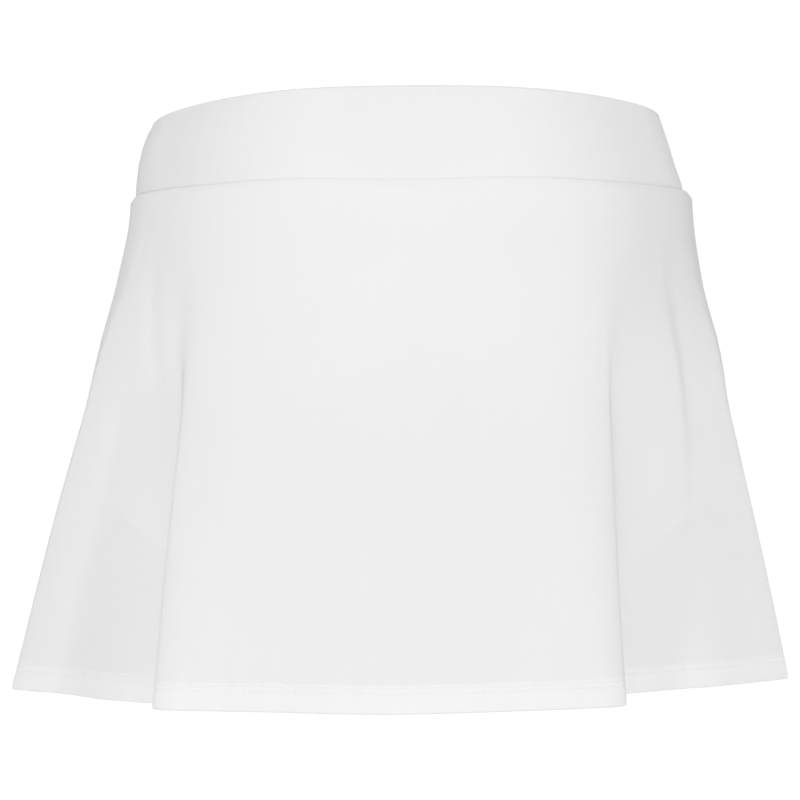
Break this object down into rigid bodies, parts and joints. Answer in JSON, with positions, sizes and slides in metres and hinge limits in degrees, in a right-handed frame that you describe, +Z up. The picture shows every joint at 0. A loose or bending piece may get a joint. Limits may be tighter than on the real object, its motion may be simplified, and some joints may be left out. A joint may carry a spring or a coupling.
{
  "type": "tennis skirt",
  "caption": "Flared pull-on tennis skirt in worn form: a wide folded waistband over a fluted skirt with a turned-up, cover-stitched hem, open at the waist and the hem.",
  "frame": {"origin": "centre of the waistband ring, 26 mm above the seam under the waistband, where the wearer's waist holds the skirt", "axes": "+Z up, the front of the skirt faces -Y, +X runs from side to side towards the wearer's left, the widest way across the hem"},
  "size_m": [0.4433, 0.3258, 0.3311],
  "materials": {
    "band_knit": "matte white fine-gauge stretch knit, two layers, soft sheen",
    "skirt_knit": "matte white fine-gauge stretch knit, soft sheen"
  },
  "bodies": {
    "root": {"waistband_front": "band_knit", "waistband_back": "band_knit", "skirt_front": "skirt_knit", "skirt_back": "skirt_knit"}
  },
  "joints": []
}
